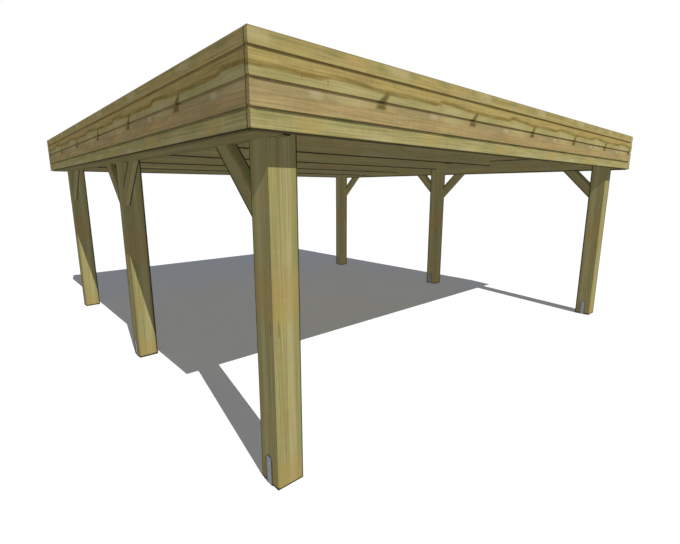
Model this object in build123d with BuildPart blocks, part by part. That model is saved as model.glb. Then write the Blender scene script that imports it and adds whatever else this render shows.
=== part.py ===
from build123d import *
import os

# A flat-roofed timber double carport: six square posts, side beams housed in the post
# heads, knee braces, sloping roof joists and a tongued fascia round all four sides.
# Millimetres, +Z up, origin on the ground in the middle of the plan, front at -Y.

# ---- driving dimensions ----
roof_length = 6000  # overall, along X
roof_depth = 6000  # overall, along Y
fascia_underside = 2100
fascia_height = 440

post_size = 190
side_overhang = 187  # post's outer face back from the fascia, along X
end_overhang = 164  # the same along Y
timber_chamfer = 3  # long edges of posts, beams, rails, braces and joists

beam_thickness = 48
beam_height = 195
beam_underside = 2092
end_beam_height = 145  # front and back beams, their tops level with the side beams'
post_reveal = 5  # beam and brace stand back from the post's outer face

brace_leg = 430  # from the inner corner of post and beam to the brace's outer edge
brace_width = 145
brace_thickness = beam_thickness

joist_thickness = 45
joist_height = 145
joist_pitch = 1000
low_joist_underside = 2096  # at the back fascia
roof_fall = 182  # front to back, inside the fascia

board_thickness = 28
board_cover = 130
bottom_board_height = 102
tongue_thickness = 8
tongue_height = 9
tongue_play = 0.4
tongue_middle = 20  # from a board's outer face
channel_height = 12  # open joint between two boards' faces
channel_depth = 13
board_arris = 1.5

deck_thickness = 28
deck_board_cover = 121
deck_joint_width = 5
deck_joint_depth = 4
cover_thickness = 18
soffit_thickness = 22
membrane_thickness = 3

anchor_width = 60
anchor_thickness = 6
anchor_height = 200
anchor_corner = 12

# ---- worked out ----
half_length = roof_length / 2
half_depth = roof_depth / 2
inner_length = half_length - board_thickness  # fascia's inner face from the middle
inner_depth = half_depth - board_thickness
roof_top = fascia_underside + fascia_height

post_outer = half_length - side_overhang
post_x = post_outer - post_size / 2
post_y = half_depth - end_overhang - post_size / 2
beam_outer = post_outer - post_reveal
beam_inner = beam_outer - beam_thickness
end_beam_inner = inner_depth - beam_thickness
beam_top = beam_underside + beam_height
rail_top = beam_top + beam_height
slope = roof_fall / (2 * inner_depth)

post_rows = {"front": -post_y, "middle": 0, "back": post_y}
sides = {"left": -1, "right": 1}
beam_ends = {"front": -1, "back": 1}

os.makedirs("parts", exist_ok=True)


def keep(part, name):
    """Names a finished piece and writes its file."""
    part.label = name
    export_step(part, f"parts/{name}.step")


def joist_underside(y):
    """Height of the sloping plane that all joists' undersides lie in."""
    return low_joist_underside + (inner_depth - y) * slope


def deck_underside(y):
    return joist_underside(y) + joist_height


def sloping_bar(y_front, y_back, height_above, thickness, x_from, x_to, eased=0):
    """A bar along X whose top and bottom follow the roof's fall."""
    with BuildPart() as bar:
        with BuildSketch(Plane.YZ.offset(x_from)):
            with BuildLine():
                Polyline(
                    (y_front, joist_underside(y_front) + height_above),
                    (y_back, joist_underside(y_back) + height_above),
                    (y_back, joist_underside(y_back) + height_above + thickness),
                    (y_front, joist_underside(y_front) + height_above + thickness),
                    close=True,
                )
            make_face()
        extrude(amount=x_to - x_from)
        if eased:
            chamfer(bar.edges().filter_by(Axis.X), eased)
    return bar.part


# ---- posts: each head housed on its outer side for the beam, the rest up to the deck ----
def post(side, y):
    front, back = y - post_size / 2, y + post_size / 2
    with BuildPart() as made:
        with BuildSketch(Plane.XY.offset(anchor_thickness)):
            with Locations((side * post_x, y)):
                Rectangle(post_size, post_size)
        extrude(amount=deck_underside(front) - anchor_thickness)
        chamfer(made.edges().filter_by(Axis.Z), timber_chamfer)
        with BuildSketch(Plane.XZ.offset(-back)):
            with Locations((side * (beam_inner + half_length) / 2, beam_underside)):
                Rectangle(
                    half_length - beam_inner,
                    roof_top - beam_underside,
                    align=(Align.CENTER, Align.MIN),
                )
        extrude(amount=post_size, mode=Mode.SUBTRACT)
        with BuildSketch(Plane.YZ.offset(side * post_x - post_size / 2)):
            with BuildLine():
                Polyline(
                    (front, deck_underside(front)),
                    (back, deck_underside(back)),
                    (back, roof_top),
                    (front, roof_top),
                    close=True,
                )
            make_face()
        extrude(amount=post_size, mode=Mode.SUBTRACT)
    return made.part


for side_name, side in sides.items():
    for row_name, row_y in post_rows.items():
        keep(post(side, row_y), f"{side_name}_{row_name}_post")


# ---- steel shoes: a plate under each post with a strap up two faces ----
def anchors(side):
    with BuildPart() as made:
        with BuildSketch(Plane.XZ) as profile:
            with Locations((side * post_x, 0)):
                Rectangle(
                    post_size + 2 * anchor_thickness,
                    anchor_height,
                    align=(Align.CENTER, Align.MIN),
                )
            with Locations((side * post_x, anchor_thickness)):
                Rectangle(
                    post_size,
                    anchor_height,
                    align=(Align.CENTER, Align.MIN),
                    mode=Mode.SUBTRACT,
                )
        for row_y in post_rows.values():
            with Locations((0, row_y, 0)):
                add(extrude(profile.sketch, amount=anchor_width / 2, both=True, mode=Mode.PRIVATE))
        strap_tops = made.faces().filter_by(Axis.Z).group_by(Axis.Z)[-1]
        chamfer(strap_tops.edges().filter_by(Axis.X), anchor_corner)
    return made.part


for side_name, side in sides.items():
    keep(anchors(side), f"{side_name}_post_anchors")


# ---- side beams from fascia to fascia, shallower end beams between them, rails on top ----
def side_timber(side, underside, length):
    with BuildPart() as made:
        with BuildSketch(Plane.XY.offset(underside)):
            with Locations((side * (beam_inner + beam_outer) / 2, 0)):
                Rectangle(beam_thickness, length)
        extrude(amount=beam_height)
        chamfer(made.edges().filter_by(Axis.Y), timber_chamfer)
    return made.part


def end_timber(end, underside, length, height):
    with BuildPart() as made:
        with BuildSketch(Plane.XY.offset(underside)):
            with Locations((0, end * (inner_depth + end_beam_inner) / 2)):
                Rectangle(length, beam_thickness)
        extrude(amount=height)
        chamfer(made.edges().filter_by(Axis.X), timber_chamfer)
    return made.part


for side_name, side in sides.items():
    keep(side_timber(side, beam_underside, 2 * inner_depth), f"{side_name}_beam")
    keep(side_timber(side, beam_top, 2 * end_beam_inner), f"{side_name}_parapet_rail")
for end_name, end in beam_ends.items():
    end_beam = end_timber(end, beam_top - end_beam_height, 2 * beam_inner, end_beam_height)
    keep(end_beam, f"{end_name}_beam")
    keep(end_timber(end, beam_top, 2 * inner_length, beam_height), f"{end_name}_parapet_rail")


# ---- knee braces, mitred at 45 degrees to post and beam ----
def brace(side, face_y, direction):
    """From the post's face at face_y up to the beam, leaning along direction (+1 or -1)."""
    inner_leg = brace_leg - brace_width * 2**0.5
    x_low = min(side * beam_inner, side * beam_outer)
    with BuildPart() as made:
        with BuildSketch(Plane.YZ.offset(x_low)):
            with BuildLine():
                Polyline(
                    (face_y, beam_underside - brace_leg),
                    (face_y + direction * brace_leg, beam_underside),
                    (face_y + direction * inner_leg, beam_underside),
                    (face_y, beam_underside - inner_leg),
                    close=True,
                )
            make_face()
        extrude(amount=brace_thickness)
        raking = made.edges().filter_by(Axis((0, 0, 0), (0, direction, 1)))
        chamfer(raking, timber_chamfer)
    return made.part


half_post = post_size / 2
brace_places = {
    "front": (-post_y + half_post, 1),
    "middle_front": (-half_post, -1),
    "middle_back": (half_post, 1),
    "back": (post_y - half_post, -1),
}
for side_name, side in sides.items():
    for place_name, (face_y, direction) in brace_places.items():
        keep(brace(side, face_y, direction), f"{side_name}_{place_name}_brace")

# ---- roof joists between the side beams; the middle one stops at the post heads ----
joist_fronts = [-end_beam_inner]
joist_fronts += [joist_pitch * n - joist_thickness / 2 for n in (-2, -1, 0, 1, 2)]
joist_fronts += [end_beam_inner - joist_thickness]
for number, y_front in enumerate(joist_fronts, start=1):
    meets_posts = abs(y_front + joist_thickness / 2) < half_post
    reach = post_x - half_post if meets_posts else beam_inner
    keep(
        sloping_bar(
            y_front,
            y_front + joist_thickness,
            0,
            joist_height,
            -reach,
            reach,
            eased=timber_chamfer,
        ),
        f"roof_joist_{number}",
    )


# ---- fascia: four tongued and grooved boards on each side ----
def fascia_board(plane, length, bottom, top, grooved, tongued):
    """A board in plane: local x runs inward from the outer face, local y is height."""
    tongue = tongue_thickness / 2
    groove = tongue + tongue_play / 2
    with BuildPart() as made:
        with BuildSketch(plane) as profile:
            with Locations((0, bottom)):
                Rectangle(board_thickness, top - bottom, align=(Align.MIN, Align.MIN))
            if tongued:
                with Locations((0, top - channel_height)):
                    Rectangle(
                        channel_depth,
                        channel_height,
                        align=(Align.MIN, Align.MIN),
                        mode=Mode.SUBTRACT,
                    )
            chamfer(profile.vertices().group_by(Axis.X)[0], board_arris)
            if tongued:
                with Locations((tongue_middle, top)):
                    Rectangle(2 * tongue, tongue_height, align=(Align.CENTER, Align.MIN))
            if grooved:
                with Locations((tongue_middle, bottom)):
                    Rectangle(
                        2 * groove,
                        tongue_height + 1,
                        align=(Align.CENTER, Align.MIN),
                        mode=Mode.SUBTRACT,
                    )
        extrude(amount=length / 2, both=True)
    return made.part


fascia_planes = {
    "front": (Plane((0, -half_depth, 0), x_dir=(0, 1, 0), z_dir=(1, 0, 0)), roof_length),
    "back": (Plane((0, half_depth, 0), x_dir=(0, -1, 0), z_dir=(-1, 0, 0)), roof_length),
    "left": (Plane((-half_length, 0, 0), x_dir=(1, 0, 0), z_dir=(0, -1, 0)), 2 * inner_depth),
    "right": (Plane((half_length, 0, 0), x_dir=(-1, 0, 0), z_dir=(0, 1, 0)), 2 * inner_depth),
}
board_edges = [fascia_underside, fascia_underside + bottom_board_height]
board_edges += [board_edges[1] + board_cover, board_edges[1] + 2 * board_cover, roof_top]
for face_name, (plane, length) in fascia_planes.items():
    for course in range(4):
        keep(
            fascia_board(
                plane,
                length,
                board_edges[course],
                board_edges[course + 1],
                grooved=course > 0,
                tongued=course < 3,
            ),
            f"{face_name}_fascia_board_{course + 1}",
        )

# ---- soffit boards closing the sides between fascia and beam, level with the beam below ----
with BuildPart() as soffit_boards:
    with BuildSketch(Plane.XY.offset(beam_underside)):
        for side in sides.values():
            with Locations((side * (inner_length + beam_outer) / 2, 0)):
                Rectangle(inner_length - beam_outer, 2 * inner_depth)
    extrude(amount=soffit_thickness)
keep(soffit_boards.part, "soffit_boards")

# ---- roof deck, grooved below along its boards' joints, and a cover board over each box ----
deck_front = deck_underside(-end_beam_inner)
joint_count = int(beam_inner / deck_board_cover)
with BuildPart() as roof_deck:
    with BuildSketch(Plane.XZ.offset(end_beam_inner)):
        with Locations((0, deck_front)):
            Rectangle(2 * beam_inner, deck_thickness, align=(Align.CENTER, Align.MIN))
        for number in range(-joint_count, joint_count + 1):
            with Locations((number * deck_board_cover, deck_front)):
                Rectangle(
                    deck_joint_width,
                    deck_joint_depth,
                    align=(Align.CENTER, Align.MIN),
                    mode=Mode.SUBTRACT,
                )
    extrude(amount=2 * end_beam_inner * (1 + slope**2) ** 0.5, dir=(0, 1, -slope))
    with BuildSketch(Plane.XY.offset(rail_top)):
        for side in sides.values():
            with Locations((side * (inner_length + beam_inner) / 2, 0)):
                Rectangle(inner_length - beam_inner, 2 * inner_depth)
    extrude(amount=cover_thickness)
keep(roof_deck.part, "roof_deck")

# ---- roofing felt over the deck, dressed up the rails and over the covers ----
cover_top = rail_top + cover_thickness
with BuildPart() as roof_membrane:
    add(
        sloping_bar(
            -end_beam_inner,
            end_beam_inner,
            joist_height + deck_thickness,
            membrane_thickness,
            -beam_inner,
            beam_inner,
        )
    )
    for side in sides.values():
        x_low = min(side * beam_inner, side * (beam_inner - membrane_thickness))
        with BuildSketch(Plane.YZ.offset(x_low)):
            with BuildLine():
                Polyline(
                    (-end_beam_inner, deck_underside(-end_beam_inner) + deck_thickness),
                    (end_beam_inner, deck_underside(end_beam_inner) + deck_thickness),
                    (end_beam_inner, cover_top + membrane_thickness),
                    (-end_beam_inner, cover_top + membrane_thickness),
                    close=True,
                )
            make_face()
        extrude(amount=membrane_thickness)
    with BuildSketch(Plane.XY.offset(cover_top)):
        for side in sides.values():
            with Locations((side * (inner_length + beam_inner - membrane_thickness) / 2, 0)):
                Rectangle(inner_length - beam_inner + membrane_thickness, 2 * inner_depth)
    extrude(amount=membrane_thickness)
    for end in beam_ends.values():
        y_edge = end * end_beam_inner
        foot = deck_underside(y_edge) + deck_thickness + membrane_thickness / 2
        with BuildSketch(Plane.XY.offset(foot)):
            with Locations((0, end * (end_beam_inner - membrane_thickness / 2))):
                Rectangle(2 * beam_inner, membrane_thickness)
        extrude(amount=rail_top + membrane_thickness - foot)
        with BuildSketch(Plane.XY.offset(rail_top)):
            with Locations((0, end * (inner_depth + end_beam_inner) / 2)):
                Rectangle(2 * beam_inner, beam_thickness)
        extrude(amount=membrane_thickness)
keep(roof_membrane.part, "roof_membrane")
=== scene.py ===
"""Dresses a packed timber carport: treated pine, roofing felt, steel shoes and fixings.

Metres, +Z up, the front towards -Y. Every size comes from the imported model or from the
settings below, and every finish is built from shader nodes.
"""

import math
from functools import partial, partialmethod
from types import SimpleNamespace

import bmesh
import bpy
from bpy.props import FloatProperty, FloatVectorProperty, PointerProperty
from bpy.types import Operator, Panel, PropertyGroup
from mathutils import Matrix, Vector


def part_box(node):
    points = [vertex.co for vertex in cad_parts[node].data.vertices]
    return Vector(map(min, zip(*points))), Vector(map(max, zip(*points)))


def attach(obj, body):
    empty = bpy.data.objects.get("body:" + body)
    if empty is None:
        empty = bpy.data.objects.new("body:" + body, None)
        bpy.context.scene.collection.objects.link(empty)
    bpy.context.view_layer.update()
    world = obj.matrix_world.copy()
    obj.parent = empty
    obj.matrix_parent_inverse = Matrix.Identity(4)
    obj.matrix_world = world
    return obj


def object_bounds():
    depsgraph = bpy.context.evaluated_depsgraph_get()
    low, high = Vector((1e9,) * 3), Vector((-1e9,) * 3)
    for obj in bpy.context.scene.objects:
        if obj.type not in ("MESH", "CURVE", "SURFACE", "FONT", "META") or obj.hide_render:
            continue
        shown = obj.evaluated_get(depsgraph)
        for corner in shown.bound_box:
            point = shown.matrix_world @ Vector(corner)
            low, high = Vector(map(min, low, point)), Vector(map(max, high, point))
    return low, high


bl_info = {
    "name": "Timber carport",
    "version": (1, 0, 0),
    "blender": (4, 5, 0),
    "location": "View3D > Sidebar > Carport",
    "description": "Dresses a packed timber carport in treated pine, felt and steel",
    "category": "Object",
}

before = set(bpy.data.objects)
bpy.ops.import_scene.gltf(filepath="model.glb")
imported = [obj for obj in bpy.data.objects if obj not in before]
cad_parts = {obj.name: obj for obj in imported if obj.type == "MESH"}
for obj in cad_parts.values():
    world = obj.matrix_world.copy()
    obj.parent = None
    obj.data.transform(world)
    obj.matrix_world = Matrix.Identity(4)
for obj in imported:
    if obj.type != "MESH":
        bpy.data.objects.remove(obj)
CAD_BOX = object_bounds()
SIDES = {"left": -1, "right": 1}
ENDS = ("front", "back")
ROWS = ("front", "middle", "back")
# each brace and the way that it leans from its post, along Y
BRACES = {"front": 1, "middle_front": -1, "middle_back": 1, "back": -1}


# ---- settings
def linear(red, green, blue):
    """A colour given as 0 to 255 on a screen, in the linear values that shaders take."""
    parts = [c / 255 for c in (red, green, blue)]
    return tuple(c / 12.92 if c <= 0.04045 else ((c + 0.055) / 1.055) ** 2.4 for c in parts)


def tone(name, *screen_colour):
    return FloatVectorProperty(
        name=name,
        description=f"Colour of the {name.lower()}",
        subtype="COLOR",
        min=0,
        max=1,
        default=linear(*screen_colour),
    )


def setting(name, description, default, **kind):
    return FloatProperty(name=name, description=description, default=default, **kind)


def metres(name, description, default):
    return setting(name, description, default, unit="LENGTH")


def degrees(name, description, angle):
    return setting(name, description, math.radians(angle), subtype="ANGLE")


class CarportTimberSettings(PropertyGroup):
    """Colours and figure of the treated pine."""

    post: tone("Post pine", 153, 144, 92)
    beam: tone("Beam and joist pine", 152, 145, 95)
    soffit: tone("Soffit pine", 140, 132, 82)
    pale: tone("Pale sapwood bands", 172, 164, 112)
    green: tone("Green treated bands", 134, 135, 80)
    warm: tone("Warm heartwood patches", 166, 139, 78)
    lime: tone("Yellow green patches", 160, 154, 78)
    late_wood: tone("Late wood lines", 112, 98, 52)
    knot: tone("Knots", 78, 68, 36)
    # painted shade: the dark lines along arrises, and the joists' dark undersides
    arris: tone("Weathered arrises", 44, 40, 22)
    stain: tone("Green stain on the braces", 88, 94, 52)
    ring_width: metres("Ring width", "Distance between two growth rings", 0.009)
    arris_width: metres("Arris width", "How far a dark edge reaches from its arris", 0.013)


class CarportFasciaSettings(PropertyGroup):
    """Colours of the four fascia boards from the bottom up, and of the patches on them."""

    board_1: tone("Bottom board", 162, 153, 98)
    board_2: tone("Second board", 164, 144, 95)
    board_3: tone("Third board", 168, 149, 88)
    board_4: tone("Top board", 164, 149, 92)
    sapwood: tone("Sapwood under the streak", 163, 155, 102)
    streak: tone("Olive streak", 118, 103, 50)
    resin: tone("Resin line", 128, 94, 44)
    pale: tone("Pale patches", 180, 170, 118)
    yellow: tone("Yellow patches", 170, 150, 84)
    green: tone("Green patches", 128, 130, 74)
    brown: tone("Brown patches", 150, 129, 82)
    warm: tone("Warm patches", 178, 150, 96)
    grey: tone("Grey patches", 182, 173, 132)
    dusky: tone("Dusky patches", 146, 135, 92)
    knot: tone("Fascia knots", 84, 74, 30)
    # dark joint lines, also used as painted shade in the channels and under the boards
    joint: tone("Dark joints", 70, 60, 10)
    figure_pitch: metres("Figure pitch", "Distance between two whorls of knots", 1.0)
    arris_width: metres("Arris width", "How far a dark edge reaches from its arris", 0.008)


class CarportRoofSettings(PropertyGroup):
    """Finish of the roofing felt and sizes of its laps."""

    felt: tone("Felt", 72, 75, 78)
    dust: tone("Dust on the felt", 104, 102, 96)
    fold: tone("Dark folds of the felt", 40, 42, 44)
    lap_pitch: metres("Lap pitch", "Distance between two side laps", 0.92)
    lap_width: metres("Lap width", "How far one sheet covers the next", 0.1)
    lap_step: metres("Lap step", "Height of a lap's edge", 0.003)


class CarportSteelSettings(PropertyGroup):
    """Finish and sizes of the steel shoes and fixings."""

    zinc: tone("Dull zinc", 134, 136, 130)
    spangle: tone("Zinc spangle", 118, 121, 116)
    bloom: tone("White bloom on the zinc", 156, 156, 150)
    # painted shade: the dark lines round the straps' edges
    edge: tone("Dark cut edges", 40, 40, 34)
    edge_width: metres("Cut edge width", "How far a strap is dark from its edge", 0.011)
    strap_corner: metres("Strap corner", "Size of the cropped corners of a strap", 0.012)
    head_size: metres("Head size", "Width of a coach screw across corners", 0.017)
    head_height: metres("Head height", "Height of a coach screw's head", 0.0055)
    washer_size: metres("Washer size", "Outer diameter of a washer", 0.026)
    washer_height: metres("Washer thickness", "Thickness of a washer", 0.002)
    screw_size: metres("Screw head size", "Diameter of a timber screw's head", 0.011)
    nail_size: metres("Nail head size", "Diameter of a soffit nail's head", 0.007)


class CarportStageSettings(PropertyGroup):
    """Camera, lamps and floor."""

    camera_place: FloatVectorProperty(
        name="Camera place",
        description="Where the camera stands",
        subtype="TRANSLATION",
        unit="LENGTH",
        default=(-4.0126, -4.7467, 1.8313),
    )
    camera_turn: degrees("Camera turn", "Turn of the view from +Y towards +X", 41.753)
    camera_dip: degrees("Camera dip", "How far the view looks down", 11.4145)
    lens: setting("Lens", "Focal length on a sensor 36 mm wide", 21.8025, unit="CAMERA")
    sun: setting("Sun strength", "Strength of the sun lamp", 3.18, min=0)
    sky: setting("Sky light", "Strength of the soft light from above", 0.1, min=0)
    ground: setting("Ground light", "Strength of the soft light from below", 0.1, min=0)
    fill: setting("Fill strength", "Strength of the lamps that lift the shade", 1.18, min=0)
    top_fill: setting("Top fill strength", "The same for the shade on the floor", 0.3, min=0)
    fill_tint: tone("Fill lamps", 220, 222, 255)
    top_fill_tint: tone("Top fill lamp", 192, 206, 241)


SETTINGS = {
    "carport_timber": CarportTimberSettings,
    "carport_fascia": CarportFasciaSettings,
    "carport_roof": CarportRoofSettings,
    "carport_steel": CarportSteelSettings,
    "carport_stage": CarportStageSettings,
}


# ---- shader helpers
def by_name(sockets):
    return SimpleNamespace(**{socket.name: socket for socket in sockets if socket.name})


class Graph:
    """Adds nodes to one shader tree and joins them."""

    def __init__(self, tree):
        self.tree = tree

    def feed(self, socket, value):
        """Joins an output to the socket, or sets the socket to a plain value."""
        if isinstance(value, bpy.types.NodeSocket):
            self.tree.links.new(value, socket)
        elif socket.type == "RGBA":
            socket.default_value = (*value, 1)
        else:
            socket.default_value = value

    def node(self, kind, inputs=None, **settings):
        made = self.tree.nodes.new(f"ShaderNode{kind}")
        for name, value in settings.items():
            setattr(made, name, value)
        for name, value in (inputs or {}).items():
            self.feed(made.inputs[name], value)
        return made

    def maths(self, operation, *values, clamp=False):
        inputs = dict(enumerate(values))
        return self.node("Math", inputs, operation=operation, use_clamp=clamp).outputs[0]

    def chain(self, operation, first, *others):
        for other in others:
            first = self.maths(operation, first, other)
        return first

    plus = partialmethod(chain, "ADD")
    minus = partialmethod(chain, "SUBTRACT")
    times = partialmethod(chain, "MULTIPLY")
    over = partialmethod(chain, "DIVIDE")
    most = partialmethod(chain, "MAXIMUM")
    least = partialmethod(chain, "MINIMUM")
    size = partialmethod(maths, "ABSOLUTE")
    fraction = partialmethod(maths, "FRACT")

    def line(self, value, rise, start):
        """start and rise times value."""
        return self.maths("MULTIPLY_ADD", value, rise, start)

    def away(self, value, centre):
        """How far value is from centre, either way."""
        return self.size(self.minus(value, centre))

    def vector(self, operation, *values):
        made = self.node("VectorMath", dict(enumerate(values)), operation=operation)
        return made.outputs["Value" if operation in ("LENGTH", "DOT_PRODUCT") else "Vector"]

    length = partialmethod(vector, "LENGTH")
    dot = partialmethod(vector, "DOT_PRODUCT")

    def shade(self, colour, share):
        """The colour times share."""
        return self.node("VectorMath", {0: colour, "Scale": share}, operation="SCALE").outputs[0]

    def split(self, vector):
        return self.node("SeparateXYZ", {0: vector}).outputs[:]

    def join(self, x=0.0, y=0.0, z=0.0):
        return self.node("CombineXYZ", {0: x, 1: y, 2: z}).outputs[0]

    def noise(self, vector, stretch, detail=2.0, roughness=0.5):
        """Smooth noise from 0 to 1, with stretch as cycles per metre on each axis."""
        place = self.vector("MULTIPLY", vector, stretch)
        inputs = {"Vector": place, "Scale": 1.0, "Detail": detail, "Roughness": roughness}
        return self.node("TexNoise", inputs).outputs[0]

    def sway(self, vector, stretch, reach, **kind):
        """Smooth noise from -reach to reach."""
        return self.line(self.noise(vector, stretch, **kind), 2 * reach, -reach)

    def step(self, value, start, end, low=0.0, high=1.0):
        """Eases from low to high as value goes from start to end."""
        inputs = {0: value, 1: start, 2: end, 3: low, 4: high}
        return self.node("MapRange", inputs, interpolation_type="SMOOTHSTEP").outputs[0]

    def band(self, value, rise, top, end, fall):
        """0 outside rise to fall, 1 from top to end."""
        return self.times(self.step(value, rise, top), self.step(value, fall, end))

    def mix(self, factor, first, second):
        made = self.node("Mix", data_type="RGBA")
        for number, value in ((0, factor), (6, first), (7, second)):
            self.feed(made.inputs[number], value)
        return made.outputs[2]

    def coat(self, colour, *coats):
        """Lays coats over the colour, each given as its mask, its share and its colour."""
        for mask, share, over in coats:
            colour = self.mix(self.times(mask, share), colour, over)
        return colour

    def group(self, name, **inputs):
        """Adds a group, with its inputs given by name: its results by name."""
        made = self.node("Group", inputs, node_tree=bpy.data.node_groups[name])
        return by_name(made.outputs)

    def place(self):
        return self.node("TexCoord").outputs["Object"]

    def flat_normal(self):
        return self.node("NewGeometry").outputs["True Normal"]

    def underside(self):
        """1 on the faces that look down."""
        return self.step(self.split(self.flat_normal())[2], -0.5, -0.9)

    def one_diagonal(self, product):
        """How strong the painted shade lines on a piece's four arrises are, from the product of its
        two places across, each as a share of the piece's size: strong where it is negative."""
        return self.step(product, 0.03, -0.1, 0.12)

    def give(self, **results):
        """Ends a group with an output for each result."""
        kinds = {"VALUE": "Float", "RGBA": "Color", "VECTOR": "Vector"}
        end = self.tree.nodes.new("NodeGroupOutput")
        for name, value in results.items():
            kind = f"NodeSocket{kinds[value.type]}"
            self.tree.interface.new_socket(name, in_out="OUTPUT", socket_type=kind)
            self.feed(end.inputs[name], value)

    def paint(self, inputs, height=None, relief=0.0):
        """Feeds the material's shader, with a bump up to 1 mm high where height is given."""
        shader = self.tree.nodes["Principled BSDF"].inputs
        if height:
            bump = self.node("Bump", {"Height": height, "Strength": relief, "Distance": 0.001})
            self.feed(shader["Normal"], bump.outputs[0])
        for name, value in inputs.items():
            self.feed(shader[name], value)


def new_group(name, **inputs):
    """An empty node group with inputs listed by kind: its graph, and the inputs by name."""
    tree = bpy.data.node_groups.new(name, "ShaderNodeTree")
    for kind, words in inputs.items():
        for word in words.split():
            tree.interface.new_socket(word, in_out="INPUT", socket_type=f"NodeSocket{kind}")
    return Graph(tree), by_name(tree.nodes.new("NodeGroupInput").outputs)


def new_material(name):
    """A material and its graph."""
    material = bpy.data.materials.new(name)
    material.use_nodes = True
    return material, Graph(material.node_tree)


# ---- shared effects
def grain_group():
    """Growth rings, bands and fibres of a log whose heart lies along X at y = z = 0."""
    graph, given = new_group("Pine grain", Vector="place", Float="ring_width")
    place = given.place
    _, y, z = graph.split(place)
    radius = graph.line(graph.noise(place, (0.6, 4, 4)), 0.04, graph.length(graph.join(0, y, z)))
    ring = graph.fraction(graph.over(radius, given.ring_width))
    graph.give(
        late_wood=graph.band(ring, 0.2, 0.8, 0.88, 1.0),
        bands=graph.noise(place, (0.35, 24, 24), detail=3, roughness=0.6),
        patches=graph.noise(place, (2.2, 8, 8)),
        fibres=graph.noise(place, (1.1, 95, 95), detail=3, roughness=0.65),
        fuzz=graph.noise(place, (9, 420, 420), detail=1),
        mottle=graph.noise(place, (30, 11, 11), detail=4, roughness=0.65),
    )


def arris_group():
    """A mask that is 1 along the arrises of a squared piece, eased or sharp, and 0 on its
    flat faces, from two of the piece's own directions, along and side."""
    graph, given = new_group("Arris line", Float="width", Vector="along side")
    rounded = graph.node("Bevel", {"Radius": given.width}, samples=8).outputs[0]
    along, side = given.along, given.side
    axes = (along, side, graph.vector("CROSS_PRODUCT", along, side))
    squareness = graph.most(*(graph.size(graph.dot(rounded, axis)) for axis in axes))
    graph.give(line=graph.step(squareness, 0.992, 0.9))


def squared_arrises_group():
    """A mask that is 1 along the arrises of a squared piece that fills the box from low to
    high, and 0 further than width from them."""
    graph, given = new_group("Squared arrises", Vector="place low high", Float="width")
    place, width = given.place, given.width
    from_low = graph.vector("SUBTRACT", place, given.low)
    to_high = graph.vector("SUBTRACT", given.high, place)
    x, y, z = graph.split(graph.vector("MINIMUM", from_low, to_high))
    # each point lies on its nearest face, so the second nearest is the one across the arris
    across = graph.most(graph.least(x, y), graph.least(graph.most(x, y), z))
    graph.give(line=graph.step(across, width, graph.times(width, 0.45)))


def small_knots_group():
    """Scattered knots: a mask for their dark cores and one for the halo round them."""
    graph, given = new_group("Small knots", Vector="place", Float="size")
    stretched = graph.vector("MULTIPLY", given.place, (1.15, 4.5, 4.5))
    cells = graph.node("TexVoronoi", {"Vector": stretched, "Scale": 1.0}).outputs
    offset = graph.vector("SUBTRACT", stretched, cells["Position"])
    radius = graph.length(graph.vector("MULTIPLY", offset, (0.55, 1 / 4.5, 1 / 4.5)))
    rare = graph.step(graph.split(cells["Color"])[0], 0.45, 0.9)
    share = graph.over(radius, graph.most(graph.times(given.size, rare), 0.0001))
    graph.give(core=graph.step(share, 1.0, 0.55), halo=graph.step(share, 3.0, 0.8))


def pine_group():
    """Planed, pressure-treated pine, apart from its arrises."""
    graph, given = new_group(
        "Treated pine",
        Vector="place grain_direction",
        Color="base pale green warm late_wood knot",
        Float="ring_width knot_size variation mottle",
    )
    place, variation = given.place, given.variation
    grain = graph.group("Pine grain", place=place, ring_width=given.ring_width)
    knots = graph.group("Small knots", place=place, size=given.knot_size)
    bands, patches, fibres = grain.bands, grain.patches, grain.fibres
    pale = graph.times(graph.step(bands, 0.5, 0.68), variation)
    green = graph.times(graph.step(bands, 0.5, 0.32), graph.step(patches, 0.35, 0.6), variation)
    warm = graph.times(graph.step(patches, 0.5, 0.36), variation)
    colour = graph.coat(
        given.base,
        (pale, 0.7, given.pale),
        (green, 0.7, given.green),
        (warm, 0.6, given.warm),
        (grain.late_wood, 0.14, given.late_wood),
    )
    line = graph.step(fibres, 0.3, 0.7, 0.82, 1.17)
    speck = graph.step(grain.fuzz, 0.25, 0.75, 0.95, 1.05)
    mottle = graph.line(graph.minus(grain.mottle, 0.5), given.mottle, 1.0)
    facing = graph.size(graph.dot(graph.flat_normal(), given.grain_direction))
    colour = graph.coat(
        graph.shade(colour, graph.times(line, speck, mottle)),
        (knots.halo, 0.35, given.warm),
        (knots.core, 0.85, given.knot),
        (graph.step(facing, 0.8, 0.95), 0.1, given.late_wood),
    )
    graph.give(
        colour=colour,
        roughness=graph.step(grain.late_wood, 0.0, 1.0, 0.86, 0.76),
        height=graph.line(fibres, 0.6, graph.times(grain.late_wood, 0.5)),
    )


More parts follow.
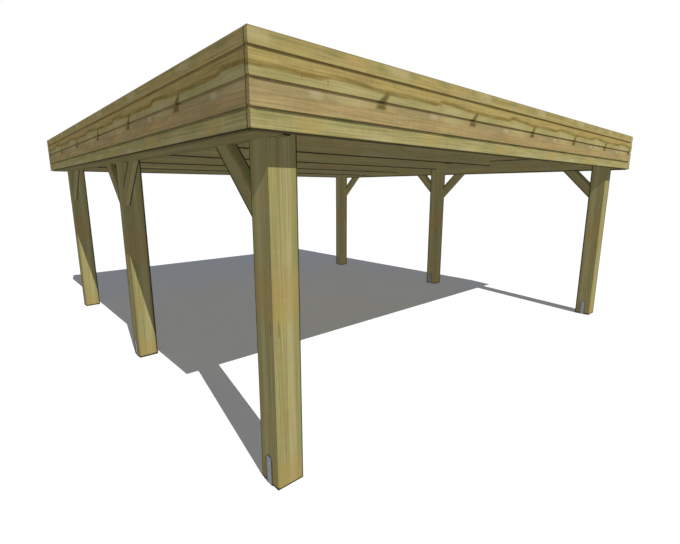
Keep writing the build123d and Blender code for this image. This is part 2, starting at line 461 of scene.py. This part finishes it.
def post_figure_group():
    """The figure of a post's faces: a pale band right of the middle, a green one along an arris,
    warm heartwood across the foot and the middle, a small knot, and painted shade lines."""
    graph, given = new_group("Post figure", Vector="place", Float="size")
    place, size = given.place, given.size
    x, y, z = graph.split(place)
    normal = graph.flat_normal()
    on_side = graph.step(graph.size(graph.split(normal)[0]), 0.4, 0.6)
    level = graph.plus(graph.times(x, graph.minus(1.0, on_side)), graph.times(y, on_side))
    waver = graph.sway(place, (3, 3, 1.4), 0.05, detail=3)
    across = graph.plus(graph.over(level, size), 0.5, waver)
    streaks = graph.noise(place, (85, 85, 1.1), detail=3, roughness=0.6)
    pale = graph.times(graph.band(across, 0.4, 0.52, 0.66, 0.82), graph.step(streaks, 0.3, 0.65))
    moss = graph.step(graph.noise(place, (9, 9, 2.2)), 0.35, 0.65, 0.35)
    green = graph.times(graph.step(across, 0.68, 0.92), graph.step(streaks, 0.85, 0.35), moss)
    # warm heartwood returns each time the trunk had a whorl of branches
    pitch, lowest = 1.2, 0.03
    whorls = graph.fraction(graph.line(z, 1 / pitch, 0.5 - lowest / pitch))
    reach = graph.times(streaks, 0.16)
    from_whorl = graph.times(graph.away(whorls, 0.5), pitch)
    warm = graph.step(from_whorl, graph.plus(reach, 0.14), reach)
    warm = graph.times(warm, graph.step(streaks, 0.2, 0.55))
    # a small knot with a shake that runs up from it
    beside, above = graph.away(across, 0.17), graph.minus(z, 1.01)
    oval = graph.length(graph.join(graph.times(beside, 26.0), graph.times(above, 45.0)))
    shake = graph.times(graph.step(beside, 0.035, 0.01), graph.band(above, -0.01, 0.01, 0.05, 0.1))
    knot = graph.most(graph.times(graph.step(oval, 1.3, 0.4), 0.7), shake)
    # painted shade lines along the arrises at the foot, and along those on one diagonal of the
    # post, where each line lies on one of the arris's two faces
    edge = graph.one_diagonal(graph.over(graph.times(x, y), graph.times(size, size)))
    edge = graph.times(edge, graph.step(graph.dot(normal, (1, 1, 0)), 0.6, 0.2))
    edge = graph.most(edge, graph.step(z, 0.03, 0.015))
    graph.give(pale=pale, green=green, warm=warm, knot=knot, edge=edge)


def board_figure_group():
    """The figure that crosses the fascia's middle joint, once a pitch: a leaning smear of
    knots, an olive streak, the sapwood under it and a thin resin line. lap runs along the
    pitch as seen from outside, and up from the joint."""
    graph, given = new_group("Board figure", Float="lap up run")
    lap, up = given.lap, given.up
    place = graph.join(given.run, up)
    drift = graph.sway(place, (22, 26, 1), 0.015, detail=3)
    # knots: a wedge that leans over the joint, widest and darkest at its blunt foot
    lean = graph.times(up, graph.step(up, -0.01, 0.01, 0.35, 0.85))
    beside = graph.plus(graph.away(lap, graph.plus(lean, 0.884)), drift)
    half, blur = graph.most(graph.line(up, -0.3, 0.03), 0.019), 0.018
    wedge = graph.step(beside, graph.plus(half, blur), graph.minus(half, blur))
    tall = graph.band(graph.plus(up, drift), -0.058, -0.038, 0.028, 0.074)
    gap = graph.band(up, -0.024, -0.014, -0.01, 0.0)
    knots = graph.times(wedge, tall, graph.line(gap, -0.3, 1.0))
    # streak: level for half a pitch, then up and slowly down again
    climb = graph.times(graph.step(lap, 0.4, 0.5), graph.step(lap, 0.92, 0.52))
    wander = graph.sway(place, (3, 3, 1), 0.006)
    off = graph.plus(graph.minus(up, graph.line(climb, 0.02, 0.053)), wander)
    frayed = graph.noise(place, (4, 90, 1), detail=3)
    patchy = graph.step(graph.noise(place, (5, 1, 1)), 0.25, 0.65, 0.45)
    streak = graph.band(off, -0.018, -0.004, 0.004, 0.024)
    streak = graph.times(streak, graph.step(frayed, 0.1, 0.6), patchy)
    sapwood = graph.times(graph.step(off, 0.004, -0.02), graph.step(frayed, 0.1, 0.6, 0.3))
    # resin: two ticks joined by a line under the streak
    outside = graph.most(graph.minus(graph.away(lap, 0.38), 0.084), graph.minus(up, 0.056))
    edge = graph.step(graph.size(outside), 0.0065, 0.001)
    resin = graph.times(edge, graph.step(up, 0.012, 0.028), graph.step(frayed, 0.15, 0.5))
    graph.give(knots=knots, streak=streak, sapwood=sapwood, resin=resin)


def patch_group():
    """One soft oval patch that returns with each pitch of the fascia's figure."""
    graph, given = new_group(
        "Board patch", Vector="place", Float="turn level centre reach height tall"
    )
    turn = graph.fraction(graph.plus(graph.minus(given.turn, given.centre), 0.5))
    beside = graph.over(graph.away(turn, 0.5), given.reach)
    above = graph.over(graph.away(given.level, given.height), given.tall)
    drift = graph.sway(given.place, (9, 9, 40), 0.6, detail=3, roughness=0.6)
    size = graph.plus(graph.length(graph.join(beside, above)), drift)
    graph.give(mask=graph.step(size, 1.2, 0.3))


# ---- timber
KINDS = ("beam", "parapet_rail")
# how far apart the pieces lie along the one long log that they are all cut from
LOG_STEP = 7.31
ALONG = {"X": (1, 0, 0), "Y": (0, 1, 0), "Z": (0, 0, 1)}


def log_place(graph, direction, heart, shift):
    """Object coordinates turned so that X runs along the grain, with the heart at zero."""
    turn = Vector(direction).rotation_difference(Vector((1, 0, 0)))
    start = turn @ -Vector(heart) + Vector((shift, 0, 0))
    inputs = {"Vector": graph.place(), "Location": start, "Rotation": turn.to_euler()}
    return graph.node("Mapping", inputs, vector_type="POINT").outputs[0]


def pine_material(
    name, base, direction, heart, shift, knot_size=0.0, variation=1.0, mottle=0.2,
    figure=None, edges=None, edge_colour=None, edge_share=0.9,
):  # fmt: skip
    """Treated pine cut from a log whose heart runs through the point heart along direction.
    The function figure adds a piece's own marks to the colour and says how strong the painted
    shade lines on its arrises are, from 0 to 1. The function edges gives the mask of these lines."""
    tones = bpy.context.scene.carport_timber
    material, graph = new_material(name)
    shared = ("pale", "green", "warm", "late_wood", "knot", "ring_width")
    pine = graph.group(
        "Treated pine",
        place=log_place(graph, direction, heart, shift),
        grain_direction=Vector(direction).normalized(),
        base=base,
        knot_size=knot_size,
        variation=variation,
        mottle=mottle,
        **{word: getattr(tones, word) for word in shared},
    )
    colour, weight = figure(graph, pine.colour) if figure else (pine.colour, 1.0)
    # painted shade lines along the arrises
    if edges:
        line = graph.times(edges(graph), weight)
        colour = graph.coat(colour, (line, edge_share, edge_colour or tones.arris))
    inputs = {"Base Color": colour, "Roughness": pine.roughness, "Specular IOR Level": 0.01}
    graph.paint(inputs, pine.height, 0.3)
    return material


def dress(node, material):
    """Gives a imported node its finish."""
    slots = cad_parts[node].material_slots
    if not slots:
        raise RuntimeError(f"{node} has no material slot")
    for slot in slots:
        slot.material = material


def dress_in_pine(node, base, direction, offset, shift, **looks):
    """Dresses a node in pine of its own, the heart at offset from the node's middle."""
    name = f"Pine {node.replace('_', ' ')}"
    heart = middle(node) + Vector(offset)
    dress(node, pine_material(name, base, direction, heart, shift, **looks))


def middle(node):
    low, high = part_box(node)
    return (low + high) / 2


def extent(node, direction):
    """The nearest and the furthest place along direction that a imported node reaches."""
    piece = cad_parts[node]
    reaches = [(piece.matrix_world @ v.co).dot(Vector(direction)) for v in piece.data.vertices]
    return min(reaches), max(reaches)


def squared_edges(node, width, graph, upright=None):
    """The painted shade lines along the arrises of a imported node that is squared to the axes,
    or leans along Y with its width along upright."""
    low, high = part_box(node)
    place = graph.place()
    if upright:
        past_ends = 9
        inner, outer = extent(node, upright)
        low, high = Vector((low.x, inner, -past_ends)), Vector((high.x, outer, past_ends))
        place = graph.join(graph.split(place)[0], graph.dot(place, upright))
    return graph.group("Squared arrises", place=place, low=low, high=high, width=width).line


def lower_part(graph, node):
    """1 up to 2 cm above the node's lowest point."""
    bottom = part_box(node)[0].z
    return graph.step(graph.split(graph.place())[2], bottom + 0.03, bottom + 0.02)


class CARPORT_OT_shared_effects(Operator):
    """Builds the shader groups that the finishes share"""

    bl_idname = "carport.shared_effects"
    bl_label = "Shared effects"

    def execute(self, context):
        builders = (grain_group, arris_group, squared_arrises_group, small_knots_group)
        builders += (pine_group, post_figure_group, board_figure_group, patch_group)
        for build in builders:
            build()
        return {"FINISHED"}


class CARPORT_OT_posts(Operator):
    """Finishes the posts and braces"""

    bl_idname = "carport.posts"
    bl_label = "Posts and braces"

    def execute(self, context):
        tones = context.scene.carport_timber
        shift = 0
        for side in SIDES:
            for row in ROWS:
                node = f"{side}_{row}_post"
                shift += LOG_STEP
                # the front left post is a little paler than the others, and its painted shade lines
                # narrower
                paler, edge = (1.04, 1.0) if node == "left_front_post" else (0.99, 1.6)
                base = paler * tones.post
                edges = partial(squared_edges, node, edge * tones.arris_width)
                figure = partial(post_figure, node, tones)
                looks = {"knot_size": 0.008, "variation": 0.35, "figure": figure, "edges": edges}
                dress_in_pine(node, base, ALONG["Z"], (0.02, 0.035, 0), shift, **looks)
            for place, lean in BRACES.items():
                node = f"{side}_{place}_brace"
                shift += LOG_STEP
                out = Vector((0, lean, -1)).normalized()
                edges = partial(squared_edges, node, 1.4 * tones.arris_width, upright=out)
                figure = partial(brace_figure, node, out, tones)
                looks = {"variation": 0.5, "figure": figure, "edges": edges}
                dress_in_pine(node, tones.post, (0, lean, 1), (0.04, 0.02, 0), shift, **looks)
        return {"FINISHED"}


def post_figure(node, tones, graph, colour):
    """Bands up the post's faces, and warm patches across them."""
    low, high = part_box(node)
    place = graph.vector("SUBTRACT", graph.place(), (*middle(node).xy, 0))
    figure = graph.group("Post figure", place=place, size=high.x - low.x)
    patches = graph.noise(graph.place(), (14, 14, 3.5))
    colour = graph.coat(
        colour,
        (graph.step(patches, 0.5, 0.68), 0.3, tones.lime),
        (figure.pale, 0.75, tones.pale),
        (figure.green, 0.9, tones.green),
        (figure.warm, 0.48, tones.warm),
        (figure.knot, 0.5, tones.knot),
    )
    # figure.edge: how strong the painted shade lines on the post's arrises are
    return colour, figure.edge


def brace_figure(node, outward, tones, graph, colour):
    """A green band along the brace's upper arris, and painted shade lines on one diagonal."""
    inner, outer = extent(node, outward)
    low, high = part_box(node)
    wide, thick = outer - inner, high.x - low.x
    place = graph.place()
    inset = graph.minus(graph.dot(place, outward), inner)
    waver = graph.sway(place, (7, 7, 7), 0.02)
    band = graph.step(graph.plus(inset, waver), 0.055, 0.012)
    x = graph.minus(graph.split(place)[0], middle(node).x)
    lean = math.copysign(1, outward.y)
    product = graph.times(x, graph.minus(inset, wide / 2), lean / (thick * wide))
    # the second result: how strong the painted shade lines on the brace's arrises are
    return graph.coat(colour, (band, 0.6, tones.stain)), graph.one_diagonal(product)


class CARPORT_OT_roof_timber(Operator):
    """Finishes the beams, rails, joists, soffit and deck"""

    bl_idname = "carport.roof_timber"
    bl_label = "Beams, joists and deck"

    def execute(self, context):
        tones = context.scene.carport_timber
        members = [(f"{s}_{kind}", "Y", (0.05, 0, -0.06)) for s in SIDES for kind in KINDS]
        members += [(f"{end}_{kind}", "X", (0, 0.05, -0.06)) for end in ENDS for kind in KINDS]
        members += [(f"roof_joist_{number}", "X", (0, 0.05, 0.07)) for number in range(1, 8)]
        shift = 3.7
        for node, run, offset in members:
            shift += LOG_STEP
            edges = partial(squared_edges, node, 1.3 * tones.arris_width)
            figure = partial(dark_underside, node, tones)
            looks = {"knot_size": 0.012, "variation": 0.6, "figure": figure, "edges": edges}
            dress_in_pine(node, tones.beam, ALONG[run], offset, shift, **looks)
        run, deck_heart, soffit_heart = ALONG["Y"], (0, 0, 2.1), (0, 0, 2.0)
        deck = pine_material("Pine roof deck", tones.beam, run, deck_heart, 63.0, 0.012)
        soffit = pine_material("Pine soffit", tones.soffit, run, soffit_heart, 41.0, 0.008, 0.5)
        dress("roof_deck", deck)
        dress("soffit_boards", soffit)
        return {"FINISHED"}


def dark_underside(node, tones, graph, colour):
    """Painted shade lines along the member's lower arrises only, and painted shade on a
    joist's underside.
    """
    share = 0.7 if "joist" in node else 0.0
    # painted shade on the faces that look down
    colour = graph.coat(colour, (graph.underside(), share, tones.arris))
    return colour, lower_part(graph, node)


# ---- fascia
# each face: which way its figure runs, and the part of a pitch that it starts at
FACES = {
    "front": ((1, 0, 0), 0.0),
    "left": ((0, -1, 0), 0.746),
    "back": ((-1, 0, 0), 0.4),
    "right": ((0, 1, 0), 0.15),
}
# each course's patches: colour, share, centre and reach as parts of a pitch, then height
# above the board's lower edge and half the patch's own height
PATCHES = {
    1: (
        ("yellow", 0.6, 0.35, 0.12, 0.045, 0.055),
        ("pale", 0.4, 0.84, 0.2, 0.02, 0.035),
        ("green", 0.7, 0.59, 0.1, 0.096, 0.02),
        ("green", 0.35, 0.12, 0.14, 0.08, 0.04),
        ("green", 0.3, 0.75, 0.2, 0.09, 0.02),
    ),
    2: (
        ("dusky", 0.55, 0.2, 0.32, 0.102, 0.036),
        ("grey", 0.5, 0.385, 0.055, 0.098, 0.028),
        ("brown", 0.5, 0.33, 0.14, 0.045, 0.045),
        ("pale", 0.45, 0.62, 0.17, 0.1, 0.035),
        ("green", 0.6, 0.59, 0.1, 0.0, 0.014),
        ("warm", 0.4, 0.6, 0.22, 0.05, 0.025),
    ),
    3: (
        ("pale", 0.4, 0.6, 0.15, 0.02, 0.03),
        ("yellow", 0.6, 0.92, 0.06, 0.085, 0.03),
        ("green", 0.3, 0.17, 0.12, 0.025, 0.025),
        ("brown", 0.35, 0.72, 0.12, 0.1, 0.025),
    ),
    4: (
        ("pale", 0.5, 0.03, 0.13, 0.05, 0.04),
        ("green", 0.45, 0.16, 0.06, 0.055, 0.02),
        ("green", 0.5, 0.5, 0.08, 0.055, 0.022),
        ("green", 0.5, 0.86, 0.04, 0.055, 0.028),
        ("yellow", 0.5, 0.27, 0.14, 0.015, 0.03),
        ("warm", 0.35, 0.64, 0.12, 0.035, 0.03),
    ),
}


class CARPORT_OT_fascia(Operator):
    """Finishes the fascia boards"""

    bl_idname = "carport.fascia"
    bl_label = "Fascia"

    def execute(self, context):
        tones = context.scene.carport_fascia
        for number, face in enumerate(FACES):
            for course in PATCHES:
                node = f"{face}_fascia_board_{course}"
                # painted shade: the side boards are a little darker, as less sun falls on them
                side_shade = 0.95 if face in SIDES else 1.0
                base = side_shade * getattr(tones, f"board_{course}")
                offset = (*middle(node).xy.normalized() * -0.07, 0.03)
                looks = {"variation": 0.3, "mottle": 0.4, "edge_share": 0.95}
                looks["figure"] = partial(fascia_figure, node, face, course, tones)
                looks["edges"] = partial(fascia_edges, node, face, course, tones)
                if course > 1:
                    # painted shade lines along the joints' arrises, in the dark joint colour
                    looks |= {"edge_colour": tones.joint, "edge_share": 0.68}
                shift = number * 11.3 + course * 3.7
                dress_in_pine(node, base, FACES[face][0], offset, shift, **looks)
        return {"FINISHED"}


def fascia_figure(node, face, course, tones, graph, colour):
    """The board's patches, the knots and streak where it meets the middle joint, and the painted
    shade at its joints, ends and underside."""
    run, start = FACES[face]
    low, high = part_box(node)
    first, _ = extent(node, run)
    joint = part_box("front_fascia_board_3")[0].z
    place, normal = graph.place(), graph.split(graph.flat_normal())
    _, y, height = graph.split(place)
    along = graph.dot(place, run)
    turn = graph.fraction(graph.line(along, 1 / tones.figure_pitch, start))
    lap, up = graph.times(turn, tones.figure_pitch), graph.minus(height, joint)
    figure = graph.group("Board figure", lap=lap, up=up, run=along)
    if course == 3:
        colour = graph.coat(colour, (figure.sapwood, 0.75, tones.sapwood))
    for name, share, centre, reach, level, tall in PATCHES[course]:
        oval = {"centre": centre, "reach": reach, "height": low.z + level, "tall": tall}
        mask = graph.group("Board patch", turn=turn, level=height, place=place, **oval).mask
        colour = graph.coat(colour, (mask, share, getattr(tones, name)))
    if course == 3:
        colour = graph.coat(colour, (figure.streak, 0.95, tones.streak))
        colour = graph.coat(colour, (figure.resin, 0.5, tones.resin))
    if course in (2, 3):
        colour = graph.coat(colour, (figure.knots, 0.8, tones.knot))
    fibres = graph.noise(place, (5, 5, 110), detail=3, roughness=0.6)
    colour = graph.shade(colour, graph.step(fibres, 0.3, 0.7, 0.9, 1.1))
    if face in SIDES:
        # painted shade at the joints with the front and back boards that cover the ends
        end = -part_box("front_fascia_board_1")[1].y
        joint_line = graph.step(graph.size(y), end - 0.011, end - 0.004)
        colour = graph.coat(colour, (joint_line, 0.9, tones.joint))
    # painted shade on the boards' undersides
    below = 0.2 if face in SIDES else 0.4
    colour = graph.coat(colour, (graph.underside(), below, tones.joint))
    if face in ENDS and course < len(PATCHES):
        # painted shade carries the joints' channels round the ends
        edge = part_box(f"{face}_fascia_board_{course + 1}")[0].z
        channel_shade = graph.band(height, edge - 0.015, edge - 0.011, edge, edge + 0.004)
        channel_shade = graph.times(channel_shade, graph.step(graph.size(normal[0]), 0.8, 0.95))
        colour = graph.coat(colour, (channel_shade, 0.7, tones.joint))
    # the arris at the end that the figure starts from gets no painted shade line, but the joints
    # keep theirs
    past_end = graph.step(graph.minus(along, first), 0.012, 0.03)
    from_joint = graph.least(graph.minus(height, low.z), graph.minus(high.z, height))
    return colour, graph.most(past_end, graph.step(from_joint, 0.012, 0.006))


def fascia_edges(node, face, course, tones, graph):
    """Painted shade lines along the joints' arrises, and a wider one along the bottom
    course's lower arris.
    """
    run, _ = FACES[face]
    # the board's other level direction
    side = ALONG["Y" if face in ENDS else "X"]
    line = graph.group("Arris line", width=tones.arris_width, along=run, side=side).line
    if course == 1:
        lower_edge = squared_edges(node, 1.4 * tones.arris_width, graph)
        line = graph.most(line, graph.times(lower_edge, lower_part(graph, node)))
    return line


# ---- added pieces
def finished_piece(name, form):
    """Turns a bmesh into a piece of the scene."""
    bmesh.ops.recalc_face_normals(form, faces=form.faces)
    mesh = bpy.data.meshes.new(name)
    form.to_mesh(mesh)
    form.free()
    piece = bpy.data.objects.new(name, mesh)
    bpy.context.scene.collection.objects.link(piece)
    return piece


def bridge(form, first, second):
    """Joins two rows of vertices with faces."""
    for corners in zip(first, second, second[1:], first[1:]):
        form.faces.new(corners)


# ---- roof
class CARPORT_OT_felt(Operator):
    """Finishes the roofing felt and lays its side laps"""

    bl_idname = "carport.felt"
    bl_label = "Roofing felt"

    def execute(self, context):
        tones = context.scene.carport_roof
        felt = felt_material(tones)
        dress("roof_membrane", felt)
        laps = finished_piece("felt_laps", felt_laps(tones))
        laps.data.materials.append(felt)
        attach(laps, "root")
        return {"FINISHED"}


def felt_laps(tones):
    """Strips along the fall: a step on one side that thins out to nothing."""
    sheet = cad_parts["roof_membrane"]
    first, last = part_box("roof_joist_1")[0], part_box("roof_joist_7")[1]
    inset = 0.004
    count = int((last.x - inset) / tones.lap_pitch)
    width, step = tones.lap_width, tones.lap_step
    profile = ((0, 0), (0, 0.8 * step), (0.002, step), (0.6 * width, 0.7 * step))
    profile += ((width, 0.0002),)
    form = bmesh.new()
    for number in range(-count, count + 1):
        rows = []
        for y in (first.y + inset, last.y - inset):
            row = []
            for across, lift in profile:
                x = number * tones.lap_pitch + across
                hit, spot, _, _ = sheet.ray_cast((x, y, CAD_BOX[1].z), (0, 0, -1))
                if not hit:
                    raise RuntimeError("the felt wasn't found under a lap")
                row.append(form.verts.new((x, y, spot.z + lift)))
            rows.append(row)
        bridge(form, *rows)
    return form


def felt_material(tones):
    material, graph = new_material("Roofing felt")
    place = graph.place()
    granules = graph.noise(place, (600, 600, 600), detail=1)
    blotches = graph.noise(place, (1.3, 0.7, 1), detail=5, roughness=0.65)
    runs = graph.noise(place, (9, 0.5, 1), detail=3)
    low_end = graph.step(graph.split(place)[1], 0.5, CAD_BOX[1].y)
    dust = graph.times(graph.step(blotches, 0.48, 0.7), 0.35)
    silt = graph.times(low_end, graph.step(runs, 0.35, 0.65), 0.4)
    colour = graph.mix(graph.most(dust, silt), tones.felt, tones.dust)
    colour = graph.shade(colour, graph.step(granules, 0.3, 0.7, 0.75, 1.25))
    folds = graph.group("Arris line", width=0.004, along=ALONG["X"], side=ALONG["Y"]).line
    colour = graph.coat(colour, (folds, 0.5, tones.fold))
    roughness = graph.step(dust, 0.0, 0.3, 0.8, 0.95)
    graph.paint({"Base Color": colour, "Roughness": roughness}, granules, 0.4)
    return material


# ---- steel
def add_turned(form, place, direction, profile, segments, spin=0.0):
    """Adds a closed form turned round direction at place. The profile lists radius and
    height from the seat up, and ends at the top's middle."""
    turn = Vector((0, 0, 1)).rotation_difference(Vector(direction))
    loops = []
    for radius, height in profile:
        loop = []
        for number in range(segments):
            angle = math.tau * number / segments + spin
            spot = Vector((radius * math.cos(angle), radius * math.sin(angle), height))
            loop.append(form.verts.new(Vector(place) + turn @ spot))
        loops.append(loop)
    for low, high in zip(loops, loops[1:]):
        bridge(form, high + high[:1], low + low[:1])
    form.faces.new(reversed(loops[0]))
    form.faces.new(loops[-1])


def add_coach_screw(form, place, direction, steel, spin):
    """A hexagon head with a chamfered top, on a washer."""
    rim, thick = steel.washer_size / 2, steel.washer_height
    washer = ((rim, 0), (rim, 0.7 * thick), (rim - 0.0006, thick), (0.3 * rim, thick))
    add_turned(form, place, direction, washer, 24)
    corner, height = steel.head_size / 2, steel.head_height
    hexagon = ((corner, 0), (corner, 0.8 * height), (0.86 * corner, height), (0.3 * corner, height))
    add_turned(form, Vector(place) + Vector(direction) * thick, direction, hexagon, 6, spin)


def add_screw(form, place, direction, size):
    """A round screw head, slightly proud, with a recess for the driver."""
    outline = ((1, 0), (1, 0.0004), (0.8, 0.0009), (0.42, 0.0009), (0.34, 0.0002))
    profile = [(share * size / 2, height) for share, height in outline]
    add_turned(form, place, direction, profile, 16)


class CARPORT_OT_steel(Operator):
    """Finishes the post shoes and adds their screws, the braces' screws and the soffit's nails"""

    bl_idname = "carport.steel"
    bl_label = "Shoes and fixings"

    def execute(self, context):
        steel = context.scene.carport_steel
        zinc = zinc_material("Galvanised steel", steel, partial(strap_edges, steel))
        fixings_zinc = zinc_material("Zinc plated fixings", steel)
        for side in SIDES:
            dress(f"{side}_post_anchors", zinc)
        for add in (shoe_screws, brace_screws, soffit_nails):
            form = bmesh.new()
            add(form, steel)
            piece = finished_piece(add.__name__, form)
            piece.data.materials.append(fixings_zinc)
            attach(piece, "root")
        return {"FINISHED"}


def shoe_screws(form, steel):
    """Two coach screws up the middle of each strap."""
    for side in SIDES:
        low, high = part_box(f"{side}_post_anchors")
        for row in ROWS:
            y = middle(f"{side}_{row}_post").y
            for x, outward in ((low.x, -1), (high.x, 1)):
                for spin, share in ((outward, 0.32), (outward + 0.4, 0.72)):
                    place = (x, y, share * high.z)
                    add_coach_screw(form, place, (outward, 0, 0), steel, spin)


def brace_screws(form, steel):
    """Two screws near each end, driven through the brace's raking lower face."""
    for side in SIDES:
        for place, lean in BRACES.items():
            node = f"{side}_{place}_brace"
            low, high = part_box(node)
            x, (near, far) = middle(node).x, (low.y, high.y)[::lean]
            foot, head = Vector((x, near, low.z)), Vector((x, far, high.z))
            along = (head - foot).normalized()
            down = Vector((0, lean, -1)).normalized()
            for start, step in ((foot, along), (head, -along)):
                for across in (-0.011, 0.011):
                    spot = start + step * 0.055 + Vector((across, 0, 0))
                    add_screw(form, spot, down, steel.screw_size)


def soffit_nails(form, steel):
    """A row of nails along both edges of each soffit board, about half a metre apart."""
    low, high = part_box("soffit_boards")
    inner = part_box("right_beam")[1].x
    from_edge, from_end, count = 0.02, 0.06, 12
    for outward in SIDES.values():
        for x in (inner + from_edge, high.x - from_edge):
            for number in range(count + 1):
                y = low.y + from_end + number * (high.y - low.y - 2 * from_end) / count
                add_screw(form, (outward * x, y, low.z), (0, 0, -1), steel.nail_size)


def strap_edges(steel, graph):
    """The painted shade lines round the straps' edges, square at the sides and cropped at the top.
    """
    rows = [middle(f"left_{row}_post").y for row in ROWS]
    low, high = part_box("left_post_anchors")
    _, y, z = graph.split(graph.place())
    across = graph.least(*(graph.away(y, row) for row in rows))
    beside, above = graph.minus(rows[0] - low.y, across), graph.minus(high.z, z)
    slant = 0.7
    corner = graph.line(graph.plus(beside, above), slant, -slant * steel.strap_corner)
    inset = graph.least(beside, above, corner)
    return graph.step(inset, steel.edge_width, 0.4 * steel.edge_width)


def zinc_material(name, steel, edges=None):
    material, graph = new_material(name)
    place = graph.place()
    cells = graph.node("TexVoronoi", {"Vector": place, "Scale": 90.0}).outputs
    spangle = graph.split(cells["Color"])[0]
    bloom = graph.step(graph.noise(place, (14, 14, 14), detail=3), 0.5, 0.8)
    colour = graph.mix(spangle, steel.zinc, steel.spangle)
    colour = graph.coat(colour, (bloom, 0.3, steel.bloom))
    if edges:
        # painted shade lines round the straps' edges
        colour = graph.coat(colour, (edges(graph), 0.9, steel.edge))
    roughness = graph.step(spangle, 0.0, 1.0, 0.5, 0.62)
    graph.paint({"Base Color": colour, "Roughness": roughness, "Metallic": 0.3})
    return material


# ---- stage
class CARPORT_OT_stage(Operator):
    """Sets up the floor, the lamps, the sky and the camera"""

    bl_idname = "carport.stage"
    bl_label = "Stage"

    def execute(self, context):
        settings = context.scene.carport_stage
        add_floor(settings)
        add_sky(context, settings)
        add_lamps(context, settings)
        add_camera(context, settings)
        context.scene.view_settings.view_transform = "Standard"
        return {"FINISHED"}


def white_to_the_eye(owner, output, lit, seen):
    """Makes owner's shader from two kinds of node and their inputs: seen where rays meet
    it directly, in a reflection or through glass, and lit where it lights the carport."""
    owner.use_nodes = True
    owner.node_tree.nodes.clear()
    graph = Graph(owner.node_tree)
    path = graph.node("LightPath").outputs
    direct = graph.plus(path["Is Camera Ray"], path["Is Glossy Ray"])
    rays = graph.maths("ADD", direct, path["Is Transmission Ray"], clamp=True)
    shaders = [graph.node(*shader).outputs[0] for shader in (lit, seen)]
    both = graph.node("MixShader", {0: rays, 1: shaders[0], 2: shaders[1]})
    graph.node(output, {"Surface": both.outputs[0]})


def add_floor(settings):
    form = bmesh.new()
    bmesh.ops.create_circle(form, cap_ends=True, segments=96, radius=60)
    floor = finished_piece("studio_floor", form)
    floor.location.z = -0.001
    material = bpy.data.materials.new("Pale floor")
    glow = ("Emission", {"Color": (1, 1, 1), "Strength": settings.ground})
    white = ("BsdfDiffuse", {"Color": (1.25, 1.25, 1.25)})
    white_to_the_eye(material, "OutputMaterial", glow, white)
    floor.data.materials.append(material)


def add_sky(context, settings):
    world = bpy.data.worlds.new("Soft sky")
    light = ("Background", {"Color": (1, 1, 1), "Strength": settings.sky})
    white = ("Background", {"Color": (1, 1, 1), "Strength": 1.0})
    white_to_the_eye(world, "OutputWorld", light, white)
    context.scene.world = world


def add_lamp(context, name, strength, direction):
    """A distant lamp that shines along direction."""
    lamp = bpy.data.lights.new(name, "SUN")
    lamp.energy = strength
    lamp.angle = math.radians(0.15)
    holder = bpy.data.objects.new(name, lamp)
    holder.rotation_euler = Vector(direction).to_track_quat("-Z", "Y").to_euler()
    context.scene.collection.objects.link(holder)
    return lamp


def add_lamps(context, settings):
    """The sun, and lamps without shadows, one square to each side of the carport."""
    add_lamp(context, "Sun", settings.sun, (0.195, 1.0315, -1))
    around = {
        "the front": (0, 1, 0),
        "the back": (0, -1, 0),
        "the left": (1, 0, 0),
        "the right": (-1, 0, 0),
        "below": (0, 0, 1),
        "above": (0, 0, -1),
    }
    for name, direction in around.items():
        kind = "top_fill" if name == "above" else "fill"
        lamp = add_lamp(context, f"Fill from {name}", getattr(settings, kind), direction)
        lamp.use_shadow = False
        lamp.color = getattr(settings, f"{kind}_tint")


def add_camera(context, settings):
    lens = bpy.data.cameras.new("Camera")
    lens.lens = settings.lens
    camera = bpy.data.objects.new("Camera", lens)
    camera.location = settings.camera_place
    level = math.radians(90)
    camera.rotation_euler = (level - settings.camera_dip, 0, -settings.camera_turn)
    context.scene.collection.objects.link(camera)
    context.scene.camera = camera


class CARPORT_PT_panel(Panel):
    """Lists the carport's steps and settings"""

    bl_idname = "CARPORT_PT_panel"
    bl_label = "Carport"
    bl_space_type = "VIEW_3D"
    bl_region_type = "UI"
    bl_category = "Carport"

    def draw(self, context):
        for step in STEPS:
            self.layout.operator(step.bl_idname)
        for name, group in SETTINGS.items():
            box = self.layout.box()
            for setting_name in group.__annotations__:
                box.prop(getattr(context.scene, name), setting_name)


STEPS = (
    CARPORT_OT_shared_effects,
    CARPORT_OT_posts,
    CARPORT_OT_roof_timber,
    CARPORT_OT_fascia,
    CARPORT_OT_felt,
    CARPORT_OT_steel,
    CARPORT_OT_stage,
)


def register():
    for made in (*SETTINGS.values(), *STEPS, CARPORT_PT_panel):
        bpy.utils.register_class(made)
    for name, group in SETTINGS.items():
        setattr(bpy.types.Scene, name, PointerProperty(type=group))


def unregister():
    for name in SETTINGS:
        delattr(bpy.types.Scene, name)
    for made in (CARPORT_PT_panel, *reversed(STEPS), *SETTINGS.values()):
        bpy.utils.unregister_class(made)


def main():
    register()
    for step in STEPS:
        getattr(bpy.ops.carport, step.bl_idname.split(".")[1])()


if __name__ == "__main__":
    main()
